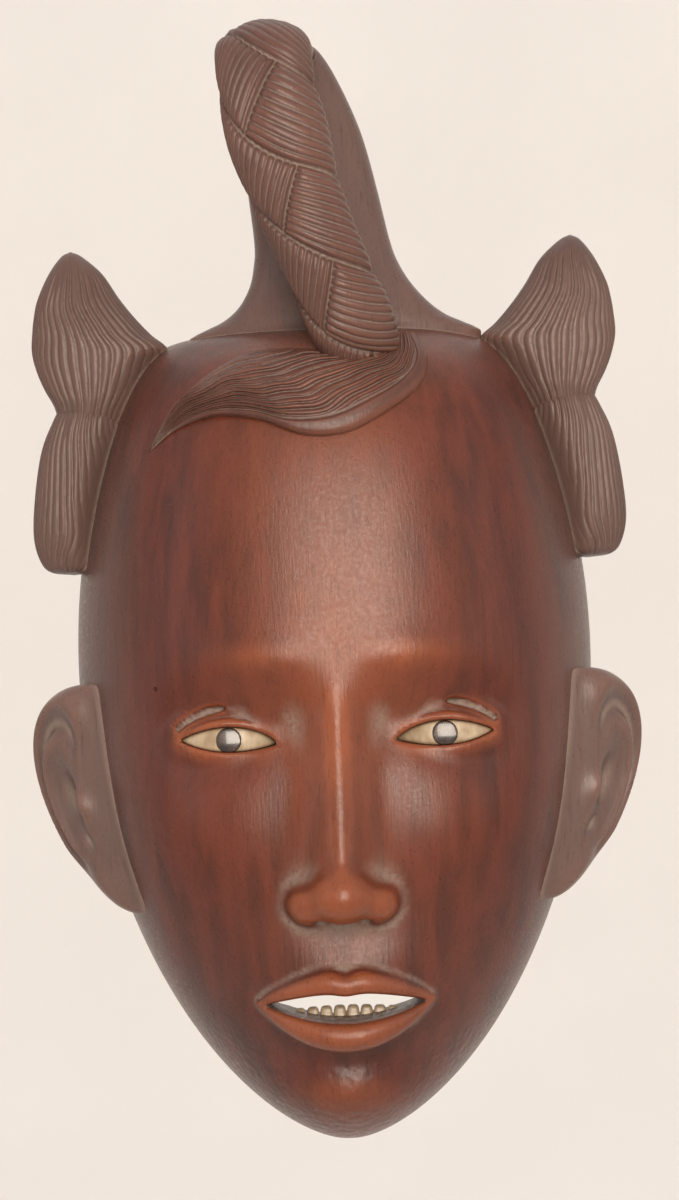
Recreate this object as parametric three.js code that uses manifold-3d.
// A carved rosewood wall mask: a hollow face, with hair, ears, eye inlays and teeth fitted to it,
// and a ring hanger let into the back of the crown.
//
// Frame: the wall is the plane y = 0, the face looks towards -Y, +X is on the viewer's right and
// +Z is up. The origin is where a wall hook carries the hanging ring once the ring is swung up.
// Lengths are in millimetres and angles in degrees.

import * as THREE from 'three';
import { mergeVertices } from 'three/addons/utils/BufferGeometryUtils.js';
import Module from 'manifold-3d';

// ---------------------------------------------------------------- driving dimensions

const FIT_GAP = 0.3; // clearance between glued or pegged pieces
const MIN_HALF = 0.4; // half thickness where a carved end runs out to a point

// The head, as an egg-shaped dome lying on the wall plane.
const HEAD = { top: 24, bottom: -208, halfWidth: 73.5, depth: 62 };
const CAVITY = { top: -24, bottom: -197, halfWidth: 61, depth: 49 };
const HEAD_ROWS = 42;
const HEAD_COLUMNS = 34;
const CAVITY_ROWS = 20;
const CAVITY_COLUMNS = 18;
const EGG_TAPER = 0.17; // how much wider the crown is than the jaw
const SECTION_POWER = 2.4; // flatness of the front across the face
const DEPTH_POWER = 0.45; // fullness of the profile near crown and chin

// The face, in units of the classical canon: the head is three and a half of them high.
const UNIT = (HEAD.top - HEAD.bottom) / 3.5;
const EYE_Z = HEAD.bottom + 1.75 * UNIT;
const NOSE_BASE_Z = HEAD.bottom + UNIT;
const BROW_Z = HEAD.bottom + 2 * UNIT;
const MOUTH_Z = HEAD.bottom + 0.66 * UNIT;
const EYE_X = HEAD.halfWidth * 0.4;

// The ears, by the same canon: as high as the nose is long, and nearly half as wide.
const EAR = {
  top: BROW_Z,
  bottom: NOSE_BASE_Z,
  width: 0.45 * UNIT,
  taper: 0.28,
  halfThickness: 5.5,
  rootY: -29,
  embedded: 6,
  turn: THREE.MathUtils.degToRad(50),
  levels: [0.99, 0.92, 0.75, 0.5, 0.2, -0.1, -0.4, -0.65, -0.85, -0.95, -0.99],
};
const CONCHA = { z: (BROW_Z + NOSE_BASE_Z) / 2 + 4, fromRoot: 13, halfSize: [8, 4, 12] };

const EYE = { halfWidth: 13.5, halfHeight: 4, thickness: 3, floorY: -53.5, turn: 17 };
const PUPIL = { radius: 3.1, length: 1.4 };
const MOUTH = { halfWidth: 22, halfHeight: 4.2, backY: -30 };
const TEETH = { halfWidth: 16, height: 5, thickness: 3.5, frontY: -50, topBelowMouth: 2 };

// The ring hanger.
const PIVOT = new THREE.Vector3(0, -2.9, -17);
const POCKET_DEPTH = 6;
const PLATE = { halfLength: 19, height: 12, thickness: 1.2, screwX: 14, holeRadius: 1.6 };
const KNUCKLE = { length: 8, radius: 2.1, bore: 1.45 };
const RING = { wireRadius: 1.1, halfWidth: 9, reach: 18.1, cornerRadius: 2.5 };
const SCREW = { headRadius: 2.6, headHeight: 1.2, shankRadius: 1.25, length: 12, tip: 2 };
const SCREW_CLEARANCE = 0.1; // between a screw's head and the plate

const DOWEL = { radius: 4, length: 16 };
const SMALL_DOWEL = { radius: 2.5, length: 14 };

// ---------------------------------------------------------------- materials

function wood(color, roughness) {
  return new THREE.MeshStandardMaterial({ color, roughness, metalness: 0 });
}

const rosewood = wood(0x5a2216, 0.35);
const combedRosewood = wood(0x4a2a20, 0.5);
const dowelWood = wood(0xb08a5c, 0.7);
const bone = wood(0xd8c9a4, 0.4);
const horn = wood(0x1c1310, 0.25);
const brass = new THREE.MeshStandardMaterial({ color: 0xa98542, roughness: 0.35, metalness: 1 });
const steel = new THREE.MeshStandardMaterial({ color: 0x8f8f8c, roughness: 0.4, metalness: 1 });

// ---------------------------------------------------------------- solids

const X_AXIS = new THREE.Vector3(1, 0, 0);
const Z_AXIS = new THREE.Vector3(0, 0, 1);

const wasm = await Module();
wasm.setup();

// A closed geometry as a solid that can be joined and cut.
function solid(geometry) {
  const bare = geometry.clone();
  bare.deleteAttribute('normal');
  bare.deleteAttribute('uv');
  const merged = mergeVertices(bare, 1e-4);
  return new wasm.Manifold(new wasm.Mesh({
    numProp: 3,
    vertProperties: new Float32Array(merged.getAttribute('position').array),
    triVerts: new Uint32Array(merged.getIndex().array),
  }));
}

function geometryOf(shape) {
  const { vertProperties, triVerts } = shape.getMesh();
  const geometry = new THREE.BufferGeometry();
  geometry.setAttribute('position', new THREE.BufferAttribute(vertProperties, 3));
  geometry.setIndex(new THREE.BufferAttribute(triVerts, 1));
  geometry.computeVertexNormals();
  return geometry;
}

function signedVolume(points, triangles) {
  let volume = 0;
  for (const [a, b, c] of triangles) {
    volume += points[a].dot(new THREE.Vector3().crossVectors(points[b], points[c])) / 6;
  }
  return volume;
}

function facingOut(points, triangles) {
  const outward = signedVolume(points, triangles) > 0;
  const order = outward ? triangles : triangles.map(([a, b, c]) => [a, c, b]);
  const geometry = new THREE.BufferGeometry();
  geometry.setFromPoints(points);
  geometry.setIndex(order.flat());
  geometry.computeVertexNormals();
  return geometry;
}

// Triangles between one ring of points and another, given where each ring starts in the list.
function strip(start, end, count) {
  const triangles = [];
  for (let i = 0; i < count; i += 1) {
    const next = (i + 1) % count;
    triangles.push([start + i, start + next, end + next]);
    triangles.push([start + i, end + next, end + i]);
  }
  return triangles;
}

// A closed body through a row of rings that all have the same number of points.
function skin(rings) {
  const count = rings[0].length;
  const points = rings.flat();
  const triangles = rings.slice(1).flatMap((ring, row) => strip(row * count, (row + 1) * count, count));
  for (const row of [0, rings.length - 1]) {
    const centre = new THREE.Vector3();
    rings[row].forEach((point) => centre.addScaledVector(point, 1 / count));
    points.push(centre);
    for (let i = 0; i < count; i += 1) {
      const here = row * count + i;
      const next = row * count + ((i + 1) % count);
      triangles.push(row === 0 ? [next, here, points.length - 1] : [here, next, points.length - 1]);
    }
  }
  return facingOut(points, triangles);
}

// A closed body through rings that run all the way round and meet again.
function loop(rings) {
  const count = rings[0].length;
  const triangles = rings.flatMap((ring, row) => (
    strip(row * count, ((row + 1) % rings.length) * count, count)
  ));
  return facingOut(rings.flat(), triangles);
}

// A tapering limb with oval sections. Each station is a place on its centre line with the half
// width in the sideways direction and the half thickness across it. Sections lie square to the
// line, and level where it is lower than levelBelow. Grow adds a gap all round.
function limb({ stations, sideways, steps, sides, levelBelow = -Infinity }, grow = 0) {
  const line = new THREE.CatmullRomCurve3(stations.map((s) => new THREE.Vector3(...s.at)));
  const size = new THREE.CatmullRomCurve3(stations.map((s) => new THREE.Vector3(s.wide, s.thick, 0)));
  const rings = [];
  for (let step = 0; step <= steps; step += 1) {
    const centre = line.getPoint(step / steps);
    const half = size.getPoint(step / steps);
    const along = centre.z < levelBelow ? Z_AXIS.clone() : line.getTangent(step / steps);
    const through = new THREE.Vector3().crossVectors(along, sideways).normalize();
    const across = new THREE.Vector3().crossVectors(through, along);
    const ring = [];
    for (let i = 0; i < sides; i += 1) {
      const angle = (i / sides) * 2 * Math.PI;
      const point = centre.clone();
      point.addScaledVector(across, (Math.max(half.x, MIN_HALF) + grow) * Math.cos(angle));
      point.addScaledVector(through, (Math.max(half.y, MIN_HALF) + grow) * Math.sin(angle));
      ring.push(point);
    }
    rings.push(ring);
  }
  return skin(rings);
}

// A flat shape drawn in X and Z, from y = 0 out towards the viewer to y = -depth.
function slab(shape, depth) {
  const geometry = new THREE.ExtrudeGeometry(shape, { depth, bevelEnabled: false, curveSegments: 10 });
  return geometry.rotateX(Math.PI / 2);
}

function box(lowX, highX, lowY, highY, lowZ, highZ) {
  const geometry = new THREE.BoxGeometry(highX - lowX, highY - lowY, highZ - lowZ);
  return geometry.translate((lowX + highX) / 2, (lowY + highY) / 2, (lowZ + highZ) / 2);
}

function cylinder(radius, length, segments = 20) {
  return new THREE.CylinderGeometry(radius, radius, length, segments);
}

// The same solid on the other side of the face.
function mirrored(geometry) {
  const copy = geometry.clone().scale(-1, 1, 1);
  const index = copy.getIndex().array;
  for (let i = 0; i < index.length; i += 3) {
    [index[i + 1], index[i + 2]] = [index[i + 2], index[i + 1]];
  }
  copy.computeVertexNormals();
  return copy;
}

// ---------------------------------------------------------------- the head

// Relief of the face: round swellings and hollows, each with its centre, spread and height.
const RELIEF = [
  { x: 0, z: BROW_Z + 2, wide: 34, high: 9, rise: 2 },
  { x: EYE_X, z: EYE_Z + 5, wide: 19, high: 11, rise: -6 },
  { x: EYE_X, z: EYE_Z, wide: 13, high: 7, rise: 3.5 },
  { x: 38, z: EYE_Z - 27, wide: 20, high: 18, rise: 4 },
  { x: 0, z: MOUTH_Z + 3, wide: 27, high: 17, rise: 5 },
  { x: 0, z: MOUTH_Z + 6.5, wide: 19, high: 3.5, rise: 3 },
  { x: 0, z: MOUTH_Z - 7, wide: 16, high: 4, rise: 3.5 },
  { x: 0, z: MOUTH_Z - 14, wide: 16, high: 5, rise: -3 },
  { x: 0, z: MOUTH_Z - 28, wide: 17, high: 10, rise: 6 },
];

function swelling(dx, dz, spot) {
  return spot.rise * Math.exp(-((dx / spot.wide) ** 2) - (dz / spot.high) ** 2);
}

function noseRise(x, z) {
  const down = (BROW_Z - z) / (BROW_Z - NOSE_BASE_Z);
  if (down < 0 || down > 1.1) {
    return 0;
  }
  const height = 4 + 15 * Math.min(down, 0.92) ** 1.4;
  const width = 6 + 4.5 * down * down;
  const ends = THREE.MathUtils.smoothstep(down, 0, 0.25) * (1 - THREE.MathUtils.smoothstep(down, 0.92, 1.1));
  const ridge = height * Math.exp(-((x / width) ** 2));
  const wings = 6 * Math.exp(-(((Math.abs(x) - 11) / 4.5) ** 2) - ((down - 0.9) / 0.13) ** 2);
  return (ridge + wings) * ends;
}

function faceRelief(x, z) {
  const spots = RELIEF.map((spot) => swelling(Math.abs(x) - spot.x, z - spot.z, spot));
  return spots.reduce((sum, rise) => sum + rise, 0) + noseRise(x, z);
}

// Half width and depth of an egg's level section, where level runs from 1 at the crown to -1.
function eggSection(egg, level) {
  const round = Math.sqrt(Math.max(1 - level * level, 0));
  const shoulder = 0.88 - 0.14 * level - 0.36 * Math.max(level, 0) ** 3;
  return {
    halfWidth: egg.halfWidth * round ** shoulder * (1 + EGG_TAPER * level),
    depth: egg.depth * round ** DEPTH_POWER,
  };
}

function bulge(share) {
  return Math.sqrt(Math.max(1 - Math.abs(share) ** SECTION_POWER, 0));
}

function headSection(z) {
  return eggSection(HEAD, (2 * z - HEAD.top - HEAD.bottom) / (HEAD.top - HEAD.bottom));
}

// How far the bare face stands out from the wall at a place on it.
function faceDepth(x, z) {
  const section = headSection(z);
  return section.depth * bulge(x / section.halfWidth);
}

// Where the side of the head lies, at a distance from the wall and a height.
function headSide(y, z) {
  const section = headSection(z);
  return section.halfWidth * (1 - (y / section.depth) ** 2) ** (1 / SECTION_POWER);
}

function egg({ top, bottom, halfWidth, depth }, rows, columns, relief = () => 0) {
  const rings = [];
  for (let row = 1; row < rows; row += 1) {
    const level = Math.cos((row / rows) * Math.PI);
    const z = (top + bottom) / 2 + (level * (top - bottom)) / 2;
    const section = eggSection({ halfWidth, depth }, level);
    const ring = [];
    for (let column = 0; column <= columns; column += 1) {
      const share = Math.sin((column / columns - 0.5) * Math.PI);
      const x = share * section.halfWidth;
      const edge = bulge(share);
      const y = -section.depth * edge - relief(x, z) * Math.min(edge * 1.5, 1);
      ring.push(new THREE.Vector3(x, column % columns === 0 ? 0 : y, z));
    }
    rings.push(ring);
  }
  return skin(rings);
}

// The head's outside, larger by the fit gap: what every fitted piece is scribed against.
const scribe = solid(egg({
  top: HEAD.top + FIT_GAP,
  bottom: HEAD.bottom - FIT_GAP,
  halfWidth: HEAD.halfWidth + FIT_GAP,
  depth: HEAD.depth + 2 * FIT_GAP,
}, HEAD_ROWS, HEAD_COLUMNS, faceRelief));

// ---------------------------------------------------------------- dowels and their holes

// Every dowel joins a fitted piece to the head or to its neighbour: its middle and direction.
const DOWELS = {
  bun_upper_peg: { at: [60, -12, 12], along: [1, 0, 0.2], size: DOWEL },
  bun_lower_peg: { at: [67, -12, -20], along: [1, 0, 0], size: DOWEL },
  ear_peg: { at: [64.5, -22, -118], along: [1, 0, 0], size: SMALL_DOWEL },
  stem_peg: { at: [2, -20, 22], along: [0, 0, 1], size: DOWEL },
  braid_peg: { at: [-13.4, -33.5, 99.6], along: [-0.05, -1, 0], size: SMALL_DOWEL },
};

function dowel({ at, along, size }, gap = 0) {
  const direction = new THREE.Vector3(...along).normalize();
  const turn = new THREE.Quaternion().setFromUnitVectors(new THREE.Vector3(0, 1, 0), direction);
  const geometry = cylinder(size.radius + gap, size.length + 2 * gap, 16);
  return geometry.applyQuaternion(turn).translate(...at);
}

function dowelHole(name, side = 1) {
  const hole = dowel(DOWELS[name], FIT_GAP);
  return solid(side < 0 ? mirrored(hole) : hole);
}

// ---------------------------------------------------------------- eyes and teeth

function almond(halfWidth, halfHeight) {
  const shape = new THREE.Shape();
  shape.moveTo(-halfWidth, 0);
  shape.bezierCurveTo(-halfWidth * 0.5, -halfHeight * 1.3, halfWidth * 0.5, -halfHeight * 1.3, halfWidth, 0);
  shape.bezierCurveTo(halfWidth * 0.5, halfHeight * 1.3, -halfWidth * 0.5, halfHeight * 1.3, -halfWidth, 0);
  return shape;
}

function eyeFrame(side) {
  const frame = new THREE.Group();
  frame.position.set(side * EYE_X, EYE.floorY, EYE_Z);
  frame.rotation.z = THREE.MathUtils.degToRad(side * EYE.turn);
  frame.updateMatrix();
  return frame;
}

function eyePocket(side) {
  const pocket = slab(almond(EYE.halfWidth + FIT_GAP, EYE.halfHeight + FIT_GAP), HEAD.depth / 2);
  return solid(pocket.applyMatrix4(eyeFrame(side).matrix));
}

function pupilSeat(radius, length) {
  const middleY = -FIT_GAP - EYE.thickness + PUPIL.length / 2;
  return cylinder(radius, length).translate(0, middleY, 0);
}

function eyeWhite() {
  const inlay = slab(almond(EYE.halfWidth, EYE.halfHeight), EYE.thickness).translate(0, -FIT_GAP, 0);
  const seat = pupilSeat(PUPIL.radius + FIT_GAP, PUPIL.length + 2 * FIT_GAP);
  return geometryOf(solid(inlay).subtract(solid(seat)));
}

const teethTop = MOUTH_Z - TEETH.topBelowMouth;

function toothRow() {
  const backY = TEETH.frontY + TEETH.thickness;
  return box(-TEETH.halfWidth, TEETH.halfWidth, TEETH.frontY, backY, teethTop - TEETH.height, teethTop);
}

// A ledge behind the lower lip, open to the hollow, that the teeth are glued into.
function toothLedge() {
  const side = TEETH.halfWidth + FIT_GAP;
  const lowZ = teethTop - TEETH.height - FIT_GAP;
  return solid(box(-side, side, TEETH.frontY - FIT_GAP, MOUTH.backY, lowZ, MOUTH_Z));
}

// ---------------------------------------------------------------- hanger

function hangerPocket() {
  const plateTop = PIVOT.z + PLATE.height / 2 + FIT_GAP;
  const plateSide = PLATE.halfLength + FIT_GAP;
  const ringSide = RING.halfWidth + RING.wireRadius + 2;
  const ringTop = PIVOT.z + RING.reach + RING.wireRadius + 2.5;
  const forPlate = solid(box(-plateSide, plateSide, -POCKET_DEPTH, 1, CAVITY.top - 3, plateTop));
  return forPlate.add(solid(box(-ringSide, ringSide, -POCKET_DEPTH, 1, plateTop - 1, ringTop)));
}

const plateBackY = -POCKET_DEPTH + FIT_GAP + PLATE.thickness;

function screwHole(x, radius) {
  return solid(cylinder(radius, 2 * SCREW.length).translate(x, plateBackY, PIVOT.z));
}

function hangerPlate() {
  const shape = new THREE.Shape();
  const end = PLATE.halfLength - PLATE.height / 2;
  shape.absarc(end, 0, PLATE.height / 2, -Math.PI / 2, Math.PI / 2);
  shape.absarc(-end, 0, PLATE.height / 2, Math.PI / 2, (3 * Math.PI) / 2);
  const sheet = solid(slab(shape, PLATE.thickness).translate(0, plateBackY, PIVOT.z));
  const barrel = cylinder(KNUCKLE.radius, KNUCKLE.length).rotateZ(Math.PI / 2);
  const bore = cylinder(KNUCKLE.bore, KNUCKLE.length + 2).rotateZ(Math.PI / 2);
  return geometryOf(sheet
    .add(solid(barrel.translate(...PIVOT)))
    .subtract(solid(bore.translate(...PIVOT)))
    .subtract(screwHole(PLATE.screwX, PLATE.holeRadius))
    .subtract(screwHole(-PLATE.screwX, PLATE.holeRadius)));
}

const RING_STEPS = 44;
const WIRE_SIDES = 8;

// The closed wire ring, drawn about the pivot and hanging down from it.
function hangingRing() {
  const { halfWidth, reach, cornerRadius, wireRadius } = RING;
  const path = new THREE.CurvePath();
  const point = (x, z) => new THREE.Vector3(x, 0, z);
  const legEnd = halfWidth - reach;
  const corner = (side) => new THREE.QuadraticBezierCurve3(
    side > 0 ? point(halfWidth - cornerRadius, 0) : point(-halfWidth, -cornerRadius),
    point(side * halfWidth, 0),
    side > 0 ? point(halfWidth, -cornerRadius) : point(cornerRadius - halfWidth, 0),
  );
  const bow = [];
  for (let step = 0; step <= 16; step += 1) {
    const angle = (step / 16) * Math.PI;
    bow.push(point(halfWidth * Math.cos(angle), legEnd - halfWidth * Math.sin(angle)));
  }
  path.add(new THREE.LineCurve3(point(cornerRadius - halfWidth, 0), point(halfWidth - cornerRadius, 0)));
  path.add(corner(1));
  path.add(new THREE.LineCurve3(point(halfWidth, -cornerRadius), point(halfWidth, legEnd)));
  path.add(new THREE.CatmullRomCurve3(bow));
  path.add(new THREE.LineCurve3(point(-halfWidth, legEnd), point(-halfWidth, -cornerRadius)));
  path.add(corner(-1));
  const rings = [];
  for (let step = 0; step < RING_STEPS; step += 1) {
    const centre = path.getPointAt(step / RING_STEPS);
    const along = path.getTangentAt(step / RING_STEPS);
    const inward = new THREE.Vector3(-along.z, 0, along.x);
    const ring = [];
    for (let i = 0; i < WIRE_SIDES; i += 1) {
      const angle = (i / WIRE_SIDES) * 2 * Math.PI;
      const place = centre.clone().addScaledVector(inward, wireRadius * Math.cos(angle));
      ring.push(place.add(new THREE.Vector3(0, wireRadius * Math.sin(angle), 0)));
    }
    rings.push(ring);
  }
  return loop(rings);
}

function screw() {
  const { headRadius, headHeight, shankRadius, length, tip } = SCREW;
  const profile = [
    new THREE.Vector2(0, -length),
    new THREE.Vector2(shankRadius, tip - length),
    new THREE.Vector2(shankRadius, 0),
    new THREE.Vector2(headRadius, 0),
    new THREE.Vector2(headRadius * 0.9, headHeight * 0.6),
    new THREE.Vector2(headRadius * 0.5, headHeight),
    new THREE.Vector2(0, headHeight),
  ];
  return new THREE.LatheGeometry(profile, 20);
}

// ---------------------------------------------------------------- hair and ears

const LOBE_Y = -12;

// The lobes of a bun: half width and half thickness of level sections, from the bottom up.
const UPPER_LOBE = {
  sideways: X_AXIS,
  steps: 14,
  sides: 14,
  levelBelow: Infinity,
  stations: [
    { at: [67, LOBE_Y, -1.5], wide: 9.6, thick: 8.4 },
    { at: [65.5, LOBE_Y, 9], wide: 15.3, thick: 10.8 },
    { at: [64.5, LOBE_Y, 19.5], wide: 19.6, thick: 11 },
    { at: [68.9, LOBE_Y, 29.5], wide: 14.4, thick: 10 },
    { at: [70.9, LOBE_Y, 41], wide: 8.2, thick: 7 },
    { at: [72, LOBE_Y, 48.5], wide: 0.6, thick: 0.6 },
  ],
};

const LOWER_LOBE = {
  sideways: X_AXIS,
  steps: 12,
  sides: 14,
  levelBelow: Infinity,
  stations: [
    { at: [67.5, LOBE_Y, 4], wide: 8.8, thick: 8 },
    { at: [69.2, LOBE_Y, -9], wide: 13.2, thick: 11 },
    { at: [70, LOBE_Y, -21], wide: 14.6, thick: 11.3 },
    { at: [70.6, LOBE_Y, -33], wide: 14.8, thick: 10.8 },
    { at: [71.8, LOBE_Y, -40.5], wide: 11.8, thick: 8.8 },
    { at: [74, LOBE_Y, -44.4], wide: 2, thick: 2 },
  ],
};

const LOBE_SEAM_Z = 1.5;
const PAST_LOBE = 80; // further from the seam than a lobe reaches

// One lobe of a hair bun: the upper one keeps what is above the seam, the lower what is below.
function bunLobe(lobe, upper) {
  const seam = LOBE_SEAM_Z + (upper ? FIT_GAP : -FIT_GAP) / 2;
  const [low, high] = upper ? [-PAST_LOBE, seam] : [seam, PAST_LOBE];
  const waste = box(0, HEAD.halfWidth + PAST_LOBE, -PAST_LOBE, PAST_LOBE, low, high);
  return geometryOf(solid(limb(lobe))
    .subtract(solid(waste))
    .subtract(scribe)
    .subtract(dowelHole(upper ? 'bun_upper_peg' : 'bun_lower_peg')));
}

// The ear is an egg-shaped blade with its wide end up. It springs from a line down the side of the
// head and leans back from there.
function ear() {
  const outward = X_AXIS.clone().applyAxisAngle(Z_AXIS, EAR.turn);
  const blade = {
    sideways: outward,
    steps: 20,
    sides: 16,
    levelBelow: Infinity,
    stations: EAR.levels.map((level) => {
      const z = (EAR.top + EAR.bottom) / 2 + (level * (EAR.top - EAR.bottom)) / 2;
      const round = Math.sqrt(1 - level * level);
      const width = EAR.width * round ** 0.8 * (1 + EAR.taper * level);
      const root = new THREE.Vector3(headSide(EAR.rootY, z), EAR.rootY, z);
      root.addScaledVector(outward, (width - EAR.embedded) / 2);
      const thick = Math.max(EAR.halfThickness * Math.sqrt(round), MIN_HALF);
      return { at: root.toArray(), wide: (width + EAR.embedded) / 2, thick };
    }),
  };
  const middle = new THREE.Vector3(headSide(EAR.rootY, CONCHA.z), EAR.rootY, CONCHA.z);
  middle.addScaledVector(outward, CONCHA.fromRoot);
  middle.addScaledVector(outward.clone().cross(Z_AXIS), EAR.halfThickness);
  const hollow = new THREE.SphereGeometry(1, 16, 12);
  hollow.scale(...CONCHA.halfSize).rotateZ(EAR.turn).translate(...middle.toArray());
  return geometryOf(solid(limb(blade))
    .subtract(solid(hollow))
    .subtract(scribe)
    .subtract(dowelHole('ear_peg')));
}

// The topknot's stem and braid share the stations at the top of the curl, where they meet.
const CURL = [
  { at: [-12.6, -24, 98.6], wide: 13.6, thick: 8 },
  { at: [-13.4, -32, 100.2], wide: 13, thick: 8 },
  { at: [-14, -39, 99.2], wide: 13.4, thick: 8.2 },
  { at: [-14, -45, 95.5], wide: 13.4, thick: 8.5 },
];
const CURL_SEAM_Y = -33;
const PAST_CURL = { x: 60, frontY: -90, backY: 40, lowZ: 70, highZ: 130 }; // clear of the curl all round

const STEM = {
  sideways: X_AXIS,
  steps: 28,
  sides: 18,
  levelBelow: 52,
  stations: [
    { at: [3.4, -16, 15], wide: 41, thick: 15 },
    { at: [3.4, -16.2, 21], wide: 43.5, thick: 15.6 },
    { at: [3.4, -16.8, 24.4], wide: 36.8, thick: 13.6 },
    { at: [3.4, -17.2, 29], wide: 28.5, thick: 11.8 },
    { at: [2.4, -17.6, 36], wide: 23, thick: 10.8 },
    { at: [0.6, -17.5, 48], wide: 19.4, thick: 10.3 },
    { at: [-1.4, -16.5, 61], wide: 18.5, thick: 9.8 },
    { at: [-4.2, -16.5, 76], wide: 17.2, thick: 9.2 },
    { at: [-8.6, -18.5, 90], wide: 15.4, thick: 8.5 },
    ...CURL.slice(0, 3),
  ],
};

const BRAID = {
  sideways: X_AXIS,
  steps: 24,
  sides: 16,
  stations: [
    ...CURL.slice(1),
    { at: [-13, -50, 85], wide: 13.6, thick: 8.5 },
    { at: [-10.6, -52, 73], wide: 14.1, thick: 8.5 },
    { at: [-7.3, -51.7, 61], wide: 13, thick: 8.5 },
    { at: [-2.1, -50.5, 46], wide: 11.9, thick: 8.5 },
    { at: [3.2, -48.5, 33], wide: 11.8, thick: 8.4 },
    { at: [7.5, -45.5, 22.5], wide: 12, thick: 7.8 },
    { at: [10, -42, 16], wide: 11, thick: 6.5 },
  ],
};

// Everything on one side of the seam at the top of the curl: side is 1 in front and -1 behind.
function curlWaste(side) {
  const seam = CURL_SEAM_Y + (side * FIT_GAP) / 2;
  const { x, frontY, backY, lowZ, highZ } = PAST_CURL;
  const [near, far] = side > 0 ? [frontY, seam] : [seam, backY];
  return solid(box(-x, x, near, far, lowZ, highZ));
}

function braidRoom() {
  return solid(limb(BRAID, FIT_GAP)).subtract(curlWaste(-1));
}

function topknotStem() {
  return geometryOf(solid(limb(STEM))
    .subtract(curlWaste(1))
    .subtract(braidRoom())
    .subtract(scribe)
    .subtract(dowelHole('stem_peg'))
    .subtract(dowelHole('braid_peg')));
}

function topknotBraid() {
  return geometryOf(solid(limb(BRAID))
    .subtract(curlWaste(-1))
    .subtract(scribe)
    .subtract(dowelHole('braid_peg')));
}

// The forelock's places on the forehead, from under the braid to its point at the temple.
const FORELOCK_PATH = [
  { x: 26, z: 9, wide: 4 },
  { x: 18, z: 7.5, wide: 9.2 },
  { x: 7, z: 3.4, wide: 12 },
  { x: -5, z: 3.5, wide: 12.4 },
  { x: -16, z: 5.6, wide: 9.7 },
  { x: -27, z: 5.6, wide: 7.4 },
  { x: -40, z: -0.5, wide: 3.6 },
  { x: -49.5, z: -10.5, wide: 0.8 },
];
const FORELOCK_THICKNESS = 5;

function forelock() {
  const stations = FORELOCK_PATH.map(({ x, z, wide }) => ({
    at: [x, -faceDepth(x, z), z],
    wide,
    thick: Math.min(wide, FORELOCK_THICKNESS),
  }));
  return geometryOf(solid(limb({ sideways: Z_AXIS, steps: 20, sides: 12, stations }))
    .subtract(scribe)
    .subtract(braidRoom()));
}

// ---------------------------------------------------------------- the face shell

function mouthSlit() {
  const shape = almond(MOUTH.halfWidth, MOUTH.halfHeight);
  return solid(slab(shape, 2 * HEAD.depth).translate(0, MOUTH.backY, MOUTH_Z));
}

function faceShell() {
  let shell = solid(egg(HEAD, HEAD_ROWS, HEAD_COLUMNS, faceRelief))
    .subtract(solid(egg(CAVITY, CAVITY_ROWS, CAVITY_COLUMNS).translate(0, 0.5, 0)))
    .subtract(mouthSlit())
    .subtract(toothLedge())
    .subtract(hangerPocket())
    .subtract(dowelHole('stem_peg'));
  for (const side of [1, -1]) {
    shell = shell.subtract(eyePocket(side)).subtract(screwHole(side * PLATE.screwX, PLATE.holeRadius));
    for (const name of ['bun_upper_peg', 'bun_lower_peg', 'ear_peg']) {
      shell = shell.subtract(dowelHole(name, side));
    }
  }
  return geometryOf(shell);
}

// ---------------------------------------------------------------- assembly

const mask = new THREE.Group();

function add(parent, name, geometry, material) {
  const piece = new THREE.Mesh(geometry, material);
  piece.name = name;
  parent.add(piece);
  return piece;
}

add(mask, 'face_shell', faceShell(), rosewood);
add(mask, 'topknot_stem', topknotStem(), rosewood);
add(mask, 'topknot_braid', topknotBraid(), combedRosewood);
add(mask, 'forelock', forelock(), combedRosewood);
add(mask, 'lower_teeth', toothRow(), bone);
add(mask, 'stem_peg', dowel(DOWELS.stem_peg), dowelWood);
add(mask, 'braid_peg', dowel(DOWELS.braid_peg), dowelWood);

const rightSide = {
  bun_upper: [bunLobe(UPPER_LOBE, true), combedRosewood],
  bun_lower: [bunLobe(LOWER_LOBE, false), combedRosewood],
  ear: [ear(), rosewood],
  bun_upper_peg: [dowel(DOWELS.bun_upper_peg), dowelWood],
  bun_lower_peg: [dowel(DOWELS.bun_lower_peg), dowelWood],
  ear_peg: [dowel(DOWELS.ear_peg), dowelWood],
};

for (const [label, side] of [['right', 1], ['left', -1]]) {
  for (const [name, [geometry, material]] of Object.entries(rightSide)) {
    add(mask, `${label}_${name}`, side > 0 ? geometry : mirrored(geometry), material);
  }
  const eye = eyeFrame(side);
  mask.add(eye);
  add(eye, `${label}_eye_white`, eyeWhite(), bone);
  add(eye, `${label}_pupil`, pupilSeat(PUPIL.radius, PUPIL.length), horn);
}

const hanger = new THREE.Group();
hanger.position.copy(PIVOT);
mask.add(hanger);
add(mask, 'hanger_plate', hangerPlate(), brass);
add(hanger, 'hanger_ring', hangingRing(), brass);

for (const [label, side] of [['right', 1], ['left', -1]]) {
  const place = new THREE.Group();
  place.position.set(side * PLATE.screwX, plateBackY + SCREW_CLEARANCE, PIVOT.z);
  mask.add(place);
  add(place, `hanger_screw_${label}`, screw(), steel);
}

export default mask;
